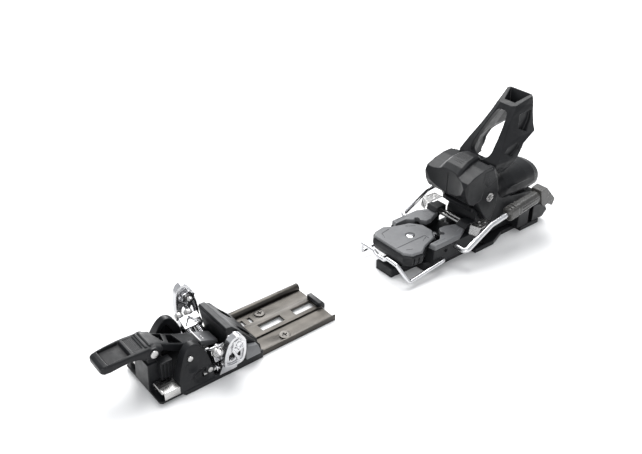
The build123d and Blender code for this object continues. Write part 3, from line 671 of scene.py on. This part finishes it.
def jaw_block():
    """Left bright arm block: two spring beds, a rib between them and an arrow-shaped pocket."""
    body = block(8.5, 20.5, -26.5, -8.2, -4.6, 5.4)
    tray = block(0.3, 9.0, -26.5, -8.2, -4.6, -3.6)
    rib = block(0.3, 9.0, -17.8, -17.0, -4.6, 3.6)
    arrow = tapered("xy", [(11.4, -23.2), (11.4, -11.5), (18.0, -17.35)], 2.8,
                    [(10.2, -25.0), (10.2, -9.7), (19.6, -17.35)], 6.5)
    seats = [rod((5, y, 0.6), (9.2, y, 0.6), 3.95) for y in SPRING_ROWS.values()]
    axle_room = rod((AXLE_X, -30, AXLE_Z), (AXLE_X, 0, AXLE_Z), 4.7)
    matrix = arm_matrix()
    cuts = [arrow.moved(matrix), axle_room, *[seat.moved(matrix) for seat in seats]]
    mesh = cut_and_join(body.moved(matrix), [tray.moved(matrix), rib.moved(matrix)], cuts)
    return softened(mesh, 0.26, 3)


def white_line():
    """Pale strip across the lock plate, with two short marks behind it."""
    strips = [block(-7.2, 7.2, -25.6, -24.7, 26.4, 26.75)]
    strips += [block(x, x + 1.6, -22.0, -21.5, 26.4, 26.75) for x in (1.0, 4.0)]
    return joined(strips)


def ribbed_block():
    """Ribbed upright beside the lever's post, above the crampon clip."""
    body = block(9.4, 17.4, -68.4, -57.6, 14.0, 31.0)
    slots = [block(16.0, 20.0, y, y + 1.5, 13.0, 29.4) for y in (-67.0, -63.8, -60.6)]
    return softened(cut_and_join(body, [], slots), 0.3, 3)


def make_toe_unit():
    piece("lock_line", white_line(), "ski_side", "signal_plastic")
    on_both_sides("ribbed_block", ribbed_block(), "ski_side", "black_plastic", None)
    piece("toe_lever_handle", toe_lever(), "toe_handle", "black_plastic", nodes=["toe_lever"])
    piece("toe_lever_dots", lever_label_dots(), "toe_handle", "black_plastic")
    on_both_sides("toe_dome", side_dome(), "ski_side", "black_plastic", "toe_bracket")
    on_both_sides("polished_wing", toe_wing(), "wing", "bright_alloy", "toe_wing", True)
    on_both_sides("jaw_arm", jaw_block(), "wing", "bright_alloy", "jaw_block", True)
    matrix = arm_matrix()
    caps = joined([knob(matrix @ Vector((20.2, y, 3.4)), matrix @ Vector((25.4, y, 3.4)), 3.9)
                   for y in CAP_ROWS])
    on_both_sides("spring_cap", caps, "wing", "bright_steel", "spring_caps", True, sharp=40)
    for side, flip in (("left", 1), ("right", -1)):
        for place_name, y in SPRING_ROWS.items():
            ends = [matrix @ Vector((x, y, 0.6)) for x in (0.7, 8.2)]
            ends = [(flip * e.x, e.y, e.z) for e in ends]
            coil(f"jaw_spring_{place_name}_{side}", *ends, 3.1, 0.78, 4.6, f"wing_{side}", "spring_steel",
                 nodes=[f"jaw_springs_{side}"])


# ------------------------------------------------------------------ heel unit
_, CUP_Y, CUP_Z = middle("cup_axle")        # axle of the heel cup and the release lever
_, PEDAL_Y, PEDAL_Z = middle("pedal_axle")
_, RIVET_Y, _ = middle("pedal_rivet")
_, _, SCREW_Z = middle("din_screw")         # axis of the release screw and its spring
BRAKE_X, _, _ = middle("brake_sleeve_left")
PAD_TOP = round(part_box("side_pad_left")[1].z / MM, 1)
CHEEK_IN, CHEEK_OUT = 20.4, 28.0            # inner and outer face of the heel cup's left cheek
HUB_IN, HUB_OUT = 15.9, 20.0                # inner and outer face of the release lever's left hub
BOOT_Y, BOOT_RADIUS = 219.0, 54.0           # the boot's heel, as an upright cylinder
ROOM_SLOPE = 26.0       # slope of the round room under the release lever, in degrees
HOUSING_Z = 46.0        # axis of the spring housing's barrel
PEDAL_CENTRE = 219.0    # y about which the pedal's outlines are drawn in
RIVET_RADIUS = 4.5
SLEEVE_TILT = 7.6       # slope of the brake wire's rear end, in degrees
THROUGH = 40            # cutters that pass right through reach this far to each side


def heel_cup():
    """Heel jaw: a hood hollowed for the boot, with a raised centre and a faceted cheek on each side."""
    hood = [(269.5, 84.6), (266.6, 79.5), (268.6, 70.0), (274.0, 60.5), (281.0, 56.6), (292.0, 60.0),
            (296.0, 74.0), (306.0, 88.0), (304.0, 93.2), (292.0, 92.4), (280.0, 89.4)]
    shell = prism("yz", hood, -36, 36)
    plan_half = [(24.0, 263.6), (27.4, 265.6), (28.6, 271.0), (28.4, 285.0), (28.0, 308.0)]
    plan = prism("xy", both_sides(plan_half), 50, 100)
    boot = rod((0, BOOT_Y, 48), (0, BOOT_Y, 104), BOOT_RADIUS, sides=160)
    hump_sections = ((268.4, 15.5, 70.0, 80.5), (272.0, 15.8, 72.0, 87.4), (279.0, 15.2, 76.0, 92.6),
                     (288.0, 13.8, 82.0, 96.6), (298.0, 12.0, 84.0, 98.2), (306.0, 10.4, 86.0, 97.0),
                     (309.0, 9.0, 88.0, 94.6))
    hump = loft([[(-half, y, low), (half, y, low), (half * 0.86, y, high - 1.8), (half * 0.66, y, high),
                  (-half * 0.66, y, high), (-half * 0.86, y, high - 1.8)]
                 for y, half, low, high in hump_sections])
    outer = [(283.0, 72.0), (286.5, 60.0), (296.0, 43.0), (306.4, 29.5), (311.4, 29.5), (316.6, 44.0),
             (318.2, 62.0), (314.0, 82.0), (308.0, 88.6), (298.0, 88.6)]
    inner = [(281.0, 74.0), (284.0, 60.0), (294.0, 43.5), (306.0, 27.6), (312.2, 27.6), (318.2, 44.0),
             (320.0, 62.0), (316.0, 84.0), (309.4, 91.2), (296.0, 91.2)]
    cheek = prism("yz", inner, CHEEK_IN, 25.4)
    facet = tapered("yz", inner, 25.4, outer, CHEEK_OUT)
    ridge = tapered("yz", [(292.0, 92.0), (309.0, 92.0), (316.0, 76.0), (303.0, 70.0), (289.5, 78.0)], 27.0,
                    [(295.0, 89.0), (307.4, 89.0), (312.6, 77.6), (302.4, 73.0), (293.0, 79.2)], 28.55)
    adds = [hump]
    for shape in (cheek, facet, ridge):
        adds += [shape, shape.mirrored()]
    hub_room = rod((-CHEEK_IN, CUP_Y, CUP_Z), (CHEEK_IN, CUP_Y, CUP_Z), 12.0)
    axle = rod((-THROUGH, CUP_Y, CUP_Z), (THROUGH, CUP_Y, CUP_Z), 4.05)
    seats = [rod((side * 26.2, CUP_Y, CUP_Z), (side * THROUGH, CUP_Y, CUP_Z), 5.3) for side in (-1, 1)]
    body = cut_and_join(shell, [], [boot], [plan])
    mesh = cut_and_join(body, adds, [boot, hub_room, axle, *seats])
    rounded = softened(mesh, 0.42, 4)
    groove = rod((0, BOOT_Y, 56), (0, BOOT_Y, 84.5), BOOT_RADIUS + 0.9, sides=160)
    band = block(-2.0, -1.2, 262, 290, 50, 90)
    cutter = cut_and_join(groove, [], [], [band])
    return cut_and_join(rounded, [], [cutter])


def release_lever():
    """Tall handle: two thin arms flare back from an open front and join in a hollow head."""
    sections = ((80.0, 308.6, 20.0, 326.0, 26.6), (86.0, 310.4, 24.6, 337.0, 27.6),
                (91.0, 312.4, 25.4, 344.0, 27.6), (99.0, 318.4, 23.2, 351.0, 26.4),
                (103.6, 321.4, 21.8, 355.0, 25.4), (110.0, 326.2, 19.4, 376.4, 20.9),
                (118.0, 332.2, 16.8, 375.0, 19.0), (130.0, 341.4, 13.8, 373.8, 17.4),
                (140.0, 349.0, 12.0, 373.0, 16.8), (149.7, 356.4, 11.8, 370.6, 16.6))
    rings = []
    for z, front, front_half, rear, rear_half in sections:
        side = 0.5 * (front_half + rear_half) + 0.5
        half = [(front_half * 0.6, front - 0.3), (front_half, front + 1.6), (side, 0.5 * (front + rear)),
                (rear_half, rear - 2.0), (rear_half * 0.8, rear)]
        rings.append([(x, y, z) for x, y in both_sides(half)])
    blade = loft(rings)
    above = prism("yz", [(330.0, 131.6), (376.0, 151.4), (376.0, 170.0), (330.0, 170.0)], -30, 30)
    window_half = [(0.0, 90.0), (7.6, 91.2), (12.8, 97.0), (12.6, 106.0), (11.0, 116.0), (8.0, 129.0),
                   (4.4, 133.8)]
    window_outline = window_half + [(-u, v) for u, v in reversed(window_half[1:])]
    window = prism("xz", smooth_outline(window_outline), 290, 350)
    hollow_sections = ((78.0, 319.0, 9.0, 334.0, 15.4), (86.0, 319.0, 10.0, 338.0, 15.4),
                       (97.0, 322.4, 12.4, 343.0, 19.8), (105.0, 328.0, 12.4, 350.0, 18.8),
                       (111.0, 332.0, 11.6, 355.0, 15.0), (119.0, 338.0, 10.2, 359.0, 12.4),
                       (128.0, 345.0, 8.0, 364.0, 10.4), (132.0, 350.0, 6.0, 366.0, 8.6))
    hollow = loft([[(x, y, z) for x, y in both_sides([(front_half, front), (rear_half, rear),
                                                      (rear_half, 400.0)])]
                   for z, front, front_half, rear, rear_half in hollow_sections])
    mouth = tapered("xy", both_sides([(4.6, 357.0), (9.6, 366.0)]), 134.6,
                    both_sides([(9.2, 349.4), (13.8, 370.4)]), 152.0)
    upper_pocket = prism("yz", [(353.6, 131.6), (368.6, 133.8), (367.6, 123.6), (361.5, 112.6),
                                (350.4, 118.2)], 14.6, THROUGH)
    lower_pocket = prism("yz", [(336.8, 108.6), (347.6, 105.0), (345.0, 99.6), (335.1, 93.6),
                                (326.4, 99.4)], 22.8, THROUGH)
    swing_room = rod((0, 0, 0), (0, 0, 82), 24.0, sides=72)
    swing_room = swing_room.moved(Matrix.Translation((0, CUP_Y + 18.0, CUP_Z - 4.5))
                                  @ Matrix.Rotation(math.radians(ROOM_SLOPE - 90), 4, "X"))
    hub = rod((HUB_IN, CUP_Y, CUP_Z), (HUB_OUT, CUP_Y, CUP_Z), 10.4)
    link = prism("yz", [(296.7, 62.0), (307.0, 50.0), (330.0, 80.2), (340.0, 84.0), (322.0, 92.0),
                        (313.0, 89.5)], HUB_IN, HUB_OUT)
    axle = rod((-THROUGH, CUP_Y, CUP_Z), (THROUGH, CUP_Y, CUP_Z), 4.05)
    pockets = [upper_pocket, upper_pocket.mirrored(), lower_pocket, lower_pocket.mirrored()]
    carved = cut_and_join(blade, [], [above, window, hollow, mouth, swing_room, *pockets])
    mesh = cut_and_join(carved, [hub, hub.mirrored(), link, link.mirrored()], [axle])
    return softened(mesh, 0.45, 7)


def heel_housing():
    """Barrel of the release spring, domed at the rear, with a scale window on top."""
    stations = ((330.4, 18.0, 62.0, 36.0), (333.0, 20.6, 65.0, 35.4), (339.0, 22.6, 67.8, 35.2),
                (350.0, 23.4, 68.8, 35.2), (370.0, 23.4, 68.8, 35.2), (384.0, 22.8, 67.8, 35.2),
                (393.0, 20.4, 64.2, 35.2), (398.6, 16.4, 59.4, 35.4), (401.6, 11.6, 54.2, 36.0),
                (402.8, 6.8, 50.0, 38.0))
    barrel = loft([soft_ring(y, half, top, bottom, 2.35, 72) for y, half, top, bottom in stations])
    window = block(-3.0, 3.0, 352.0, 366.4, 60.0, 75)
    frame_rim = prism("xy", both_sides([(4.6, 350.4), (4.6, 368.0)]), 66.0, 69.2)
    screw_seat = rod((0, 396.0, SCREW_Z), (0, 410, SCREW_Z), 7.4)
    screw_hole = rod((0, 366, SCREW_Z), (0, 410, SCREW_Z), 6.05)
    spring_bore = rod((0, 333.0, SCREW_Z), (0, 368.0, SCREW_Z), 9.0)
    side_panel = tapered("yz", [(341.0, 55.0), (390.0, 55.0), (394.0, 47.0), (341.0, 42.0)], 22.8,
                         [(340.0, 56.0), (391.0, 56.0), (395.0, 46.0), (340.0, 41.0)], 26.0)
    lid_line = block(-30, 30, 386.0, 386.7, 30, 80)
    core = rod((0, 380.0, HOUSING_Z), (0, 392.0, HOUSING_Z), 21.6, sides=72)
    ring_cut = cut_and_join(lid_line, [], [core])
    cuts = [window, side_panel, side_panel.mirrored(), screw_seat, ring_cut]
    mesh = cut_and_join(barrel, [frame_rim], cuts)
    return softened(cut_and_join(mesh, [], [screw_hole, spring_bore, node_mesh("heel_carriage")]), 0.42, 4)


def scale_marks():
    """Short pale strokes beside the pointer's window."""
    marks = []
    for i in range(8):
        length = 1.9 if i % 2 == 0 else 1.1
        y = 353.2 + 1.75 * i
        marks.append(block(3.3, 3.3 + length, y, y + 0.35, 68.6, 69.12))
    return joined(marks)


def side_pad():
    """Left grey pad with a keyhole slot, a chamfered rim and two sunken fields."""
    plan = [(15.5, 250.5), (24.6, 240.0), (24.6, 226.0), (31.6, 227.5), (31.6, 262.0), (24.0, 277.5),
            (15.0, 277.5), (9.0, 262.0), (9.0, 255.0)]
    body = prism("xy", plan, 26.5, 30.6)
    centre = Vector((21.0, 254.0))
    inset = [tuple(centre + (Vector(p) - centre) * 0.955) for p in plan]
    top = tapered("xy", plan, 30.6, inset, PAD_TOP)
    field = prism("xy", [(26.4, 231.0), (30.0, 231.6), (30.0, 246.0), (26.4, 246.0)], 31.35, 34)
    rear_field = prism("xy", [(14.5, 264.0), (25.0, 264.0), (21.4, 274.5), (15.4, 274.5)], 31.4, 34)
    hole = rod((18.0, 250.0, 20), (18.0, 250.0, 40), 2.8)
    slot_cut = block(9.0, 18.0, 248.6, 251.4, 20, 40)
    return softened(cut_and_join(body, [top], [field, rear_field, hole, slot_cut]), 0.3, 3)


def pedal_outline(inset=0.0):
    """Plan outline of the pedal, drawn in by an inset."""
    half = [(22.0, 193.0), (28.5, 199.0), (30.5, 212.0), (24.0, 222.5), (18.6, 239.5), (7.0, 248.5)]
    return both_sides([(x * (1 - inset / 30.0), PEDAL_CENTRE + (y - PEDAL_CENTRE) * (1 - inset / 28.0))
                       for x, y in half])


def brake_pedal():
    """Dark pedal body: a bellied front skirt under the pad, hollow beneath, with a hub round its axle."""
    levels = ((15.6, 3.4), (17.0, 1.9), (19.6, 0.7), (22.6, 0.0), (27.2, 0.1), (28.6, 0.9))
    body = loft([[(x, y, z) for x, y in pedal_outline(inset)] for z, inset in levels])
    front_room = block(-24, 24, 201.0, 226.0, 8, 21.0)
    rear_room = block(-40, 40, 226.0, 250.0, 8, 17.0)
    side_rooms = []
    notches = []
    for side in (-1, 1):
        side_rooms.append(block(*sorted((side * 18.7, side * THROUGH)), 224.0, 260.0, 8, 40))
        for y in (201.5, 207.0):
            notches.append(block(*sorted((side * 24.2, side * THROUGH)), y, y + 1.1, 10, 26.0))
    hub = rod((-16, PEDAL_Y, PEDAL_Z), (16, PEDAL_Y, PEDAL_Z), 4.4)
    axle = rod((-THROUGH, PEDAL_Y, PEDAL_Z), (THROUGH, PEDAL_Y, PEDAL_Z), 2.05)
    hole = rod((0, RIVET_Y, 24.9), (0, RIVET_Y, 60), RIVET_RADIUS)
    under_pad = prism("xy", pedal_outline(-2.0), 28.55, 40)
    carved = cut_and_join(body, [], [front_room, rear_room, *side_rooms, *notches])
    rounded = softened(cut_and_join(carved, [hub], [axle]), 0.38, 5)
    return cut_and_join(rounded, [], [hole, under_pad])


def pedal_pad():
    """Grey plate on the pedal, with a seam beside the rivet hole and curved lines near its corners."""
    half = [(20.5, 194.5), (27.3, 200.0), (29.2, 212.0), (23.2, 221.8), (17.8, 239.0), (6.6, 247.4)]
    low = both_sides(half)
    body = prism("xy", low, 28.6, 30.2)
    high = [(x * 0.965, PEDAL_CENTRE + (y - PEDAL_CENTRE) * 0.965) for x, y in low]
    top = tapered("xy", low, 30.2, high, 31.2)
    hole = rod((0, RIVET_Y, 20), (0, RIVET_Y, 40), RIVET_RADIUS)
    funnel = rod((0, RIVET_Y, 30.2), (0, RIVET_Y, 31.4), RIVET_RADIUS, 5.4)
    seam = prism("xy", [(9.2, 190.0), (10.1, 190.0), (10.1, 233.6), (15.4, 233.6), (15.4, 234.5),
                        (9.2, 234.5)], 30.5, 34)
    lines = []
    for x0, y0, x1, y1 in ((-19.5, 203.0, -12.0, 199.5), (-21.5, 214.0, -19.5, 203.0),
                           (-15.5, 231.0, -9.5, 240.0), (17.5, 201.0, 20.5, 207.5),
                           (16.0, 226.0, 12.6, 234.0)):
        start, end = Vector((x0, y0)), Vector((x1, y1))
        side = (end - start).orthogonal().normalized() * 0.42
        corners = [tuple(start - side), tuple(end - side), tuple(end + side), tuple(start + side)]
        lines.append(prism("xy", corners, 30.6, 34))
    return softened(cut_and_join(body, [top], [hole, funnel, seam, *lines]), 0.26, 2)


def along_sleeve(shape):
    """A shape drawn along +Y from the origin, laid along the brake wire's rear end."""
    wire_end = Matrix.Translation((BRAKE_X, 313.8, 42.9))
    return shape.moved(wire_end @ Matrix.Rotation(math.radians(SLEEVE_TILT), 4, "X"))


def brake_sleeve():
    """Left sleeve on the brake wire: a stepped collar, a tapering grip and grooves along its sides."""
    stations = ((0.0, 5.2, 5.6), (1.0, 6.2, 7.2), (11.6, 6.4, 7.4), (12.6, 5.9, 6.6), (14.6, 5.9, 6.6),
                (15.4, 6.2, 7.0), (19.0, 6.0, 6.9), (36.0, 5.7, 6.4), (47.4, 5.5, 6.2))
    body = loft([soft_ring(y, half, height, -height, 3.2, 48) for y, half, height in stations])
    cuts = []
    for side in (-1, 1):
        for z in (-2.6, 1.6):
            cuts.append(block(*sorted((side * 5.2, side * 8)), 17.0, 45.0, z, z + 1.0))
    for y in (3.4, 8.0):
        cuts.append(block(-8, 8, y, y + 0.9, 5.9, 9))
    fittings = [node_mesh("brake_wire_left"), node_mesh("brake_foot_left")]
    mesh = cut_and_join(along_sleeve(body), [], [*[along_sleeve(cut) for cut in cuts], *fittings])
    return softened(mesh, 0.3, 3)


def tower_plate():
    """Left bright steel plate on a tower: a pierced flat with its front edge bent down."""
    flat_outline = [(29.2, 279.4), (29.2, 298.4), (40.6, 298.0), (41.4, 281.0), (30.6, 277.6)]
    flat = prism("xy", flat_outline, 35.8, 36.8)
    lip = loft([[(30.4, 277.4, z) for z in (35.8, 36.8)] + [(41.4, 280.9, z) for z in (36.8, 35.8)],
                [(31.2, 274.4, z) for z in (27.6, 28.4)] + [(40.6, 277.4, z) for z in (28.4, 27.6)]])
    hole_places = ((32.6, 288.6, 1.5), (36.8, 292.6, 1.1), (37.0, 284.6, 1.1))
    holes = [rod((x, y, 30), (x, y, 40), radius) for x, y, radius in hole_places]
    return softened(cut_and_join(flat, [lip], holes), 0.24, 2)


def make_heel_unit():
    piece("heel_cup_shell", heel_cup(), "heel_jaw", "black_plastic", nodes=["heel_cup"])
    piece("release_lever_handle", release_lever(), "heel_lever", "black_plastic", nodes=["release_lever"])
    piece("spring_housing", heel_housing(), "carriage", "black_plastic", nodes=["heel_housing"])
    piece("scale_marks", scale_marks(), "carriage", "signal_plastic")
    carriage = remade("heel_carriage", 0.45, 4)
    piece("carriage_body", carriage, "carriage", "black_plastic", nodes=["heel_carriage"])
    on_both_sides("heel_side_pad", side_pad(), "ski_side", "grey_plastic", "side_pad")
    piece("pedal_body", brake_pedal(), "pedal", "black_plastic", nodes=["brake_pedal"])
    piece("pedal_top", pedal_pad(), "pedal", "grey_plastic", nodes=["pedal_pad"])
    on_both_sides("wire_sleeve", brake_sleeve(), "brake_arms", "brake_plastic", "brake_sleeve")
    foot = remade("brake_foot_left", 0.32, 4)
    on_both_sides("snow_foot", foot, "brake_arms", "brake_plastic", "brake_foot")
    on_both_sides("heel_tower", remade("tower_left", 0.34, 4), "ski_side", "black_plastic", "tower")
    on_both_sides("steel_tower_plate", tower_plate(), "ski_side", "bright_steel", "tower_plate")
    piece("brake_bed", remade("brake_base", 0.42, 4), "ski_side", "black_plastic", nodes=["brake_base"])
    piece("treadle_tongue", remade("treadle", 0.35, 3), "heel_jaw", "black_plastic", nodes=["treadle"])
    piece("ski_track", remade("heel_track", 0.42, 2), "ski_side", "black_plastic", nodes=["heel_track"])
    cheek_rows = [(60, 299.6 + 2.3 * i - 0.6 * j, 70.0 + 2.6 * j) for j in range(7) for i in range(3)]
    for side, flip in (("left", 1), ("right", -1)):
        points = [(flip * x, y, z) for x, y, z in cheek_rows]
        raised_dots("heel_cup_shell", points, (-flip, 0, 0), 0.5, 0.25, "heel_jaw", "black_plastic",
                    f"cheek_dots_{side}")
    piece("rivet_head", mesh_of(ellipsoid((0, RIVET_Y, 29.9), (4.2, 4.2, 1.0))), "pedal", "bright_alloy")
    rows = [(-5.4 + 1.8 * i + 0.9 * (j % 2), 284.0 + 2.1 * j, 100) for j in range(7) for i in range(7)]
    raised_dots("heel_cup_shell", rows, (0, 0, -1), 0.42, 0.26, "heel_jaw", "black_plastic", "cup_dots")


finish_cad_nodes()
make_toe_unit()
make_heel_unit()
bevel_nodes({"toe_rail": 0.25, "rail_end_cap": 0.5, "rail_screws": 0.2, "lock_plate": 0.35, "lever_pin": 0.35,
             "bracket_pins": 0.3, "cup_screws": 0.3, "crampon_clip_left": 0.35, "crampon_clip_right": 0.35,
             "boot_stop_left": 0.6, "boot_stop_right": 0.6, "pedal_rivet": 0.4, "din_pointer": 0.3,
             "lever_pad": 0.3})
piece("toe_base_moulding", remade("toe_base", 0.42, 3), "ski_side", "black_plastic", nodes=["toe_base"])
rear_wedge = remade("toe_rear_cover", 0.4, 3)
piece("toe_rear_wedge", rear_wedge, "ski_side", "black_plastic", nodes=["toe_rear_cover"])


# ------------------------------------------------------------------ stage, light and camera
def area_light(name, location, target, size, energy):
    data = bpy.data.lights.new(name, "AREA")
    data.shape = "RECTANGLE"
    data.size, data.size_y = size
    data.energy = energy
    obj = bpy.data.objects.new(name, data)
    obj.location = location
    obj.rotation_mode = "QUATERNION"
    obj.rotation_quaternion = (Vector(target) - Vector(location)).to_track_quat("-Z", "Y")
    bpy.context.scene.collection.objects.link(obj)


def make_stage():
    """Pale matt floor, with a faint paper-like grain."""
    size = 6.0      # metres to each side
    below = 0.0002  # the floor is this far under the binding, so that the two don't share a plane
    corners = [(-size, -size, 0), (size, -size, 0), (size, size, 0), (-size, size, 0)]
    mesh = bpy.data.meshes.new("floor")
    mesh.from_pydata(corners, [], [(0, 1, 2, 3)])
    floor = bpy.data.objects.new("floor", mesh)
    floor.location.z = CAD_LOW.z - below
    g = Graph("floor", 0.75)
    g.colour(g.mix(g.noise(30.0, 5.0), (0.80, 0.80, 0.80), (0.84, 0.84, 0.84)))
    g.bumps((g.noise(2500.0, 2.0), 0.05, 0.05))
    mesh.materials.append(g.material)
    bpy.context.scene.collection.objects.link(floor)


# name: place as seen from the binding's middle, size of the lit square (both in metres), watts
LIGHTS = {
    "key": ((-0.45, 0.35, 1.25), (1.1, 1.1), 26),
    "fill": ((0.9, -1.1, 0.55), (0.9, 0.9), 9),
    "rim": ((-1.1, 0.5, 0.45), (0.5, 0.9), 10),
}


def make_light():
    """A pale surround and three soft lamps that look at the binding's middle."""
    centre = (CAD_LOW + CAD_HIGH) / 2
    world = bpy.data.worlds.new("studio")
    world.use_nodes = True
    world.node_tree.nodes["Background"].inputs["Color"].default_value = (0.95, 0.97, 1.0, 1)
    world.node_tree.nodes["Background"].inputs["Strength"].default_value = 0.75
    bpy.context.scene.world = world
    for name, (offset, size, watts) in LIGHTS.items():
        area_light(name, centre + Vector(offset), centre, size, watts)


CAMERA_PLACE = (0.4844, -0.2736, 0.4638)    # metres
CAMERA_AZIMUTH = 51.69                      # degrees from the binding's front towards its left
CAMERA_ELEVATION = 31.596                   # degrees
LENS, SENSOR_WIDTH = 45.4, 36.0             # millimetres


def make_camera():
    """The camera stands at the front left of the binding, a little above it."""
    azimuth, elevation = math.radians(CAMERA_AZIMUTH), math.radians(CAMERA_ELEVATION)
    back = Vector((math.sin(azimuth) * math.cos(elevation), -math.cos(azimuth) * math.cos(elevation),
                   math.sin(elevation)))
    data = bpy.data.cameras.new("camera")
    data.sensor_width = SENSOR_WIDTH
    data.lens = LENS
    camera = bpy.data.objects.new("camera", data)
    camera.location = CAMERA_PLACE
    camera.rotation_mode = "QUATERNION"
    camera.rotation_quaternion = (-back).to_track_quat("-Z", "Y")
    bpy.context.scene.collection.objects.link(camera)
    bpy.context.scene.camera = camera


make_stage()
make_light()
make_camera()
bpy.context.scene.view_settings.view_transform = "Standard"
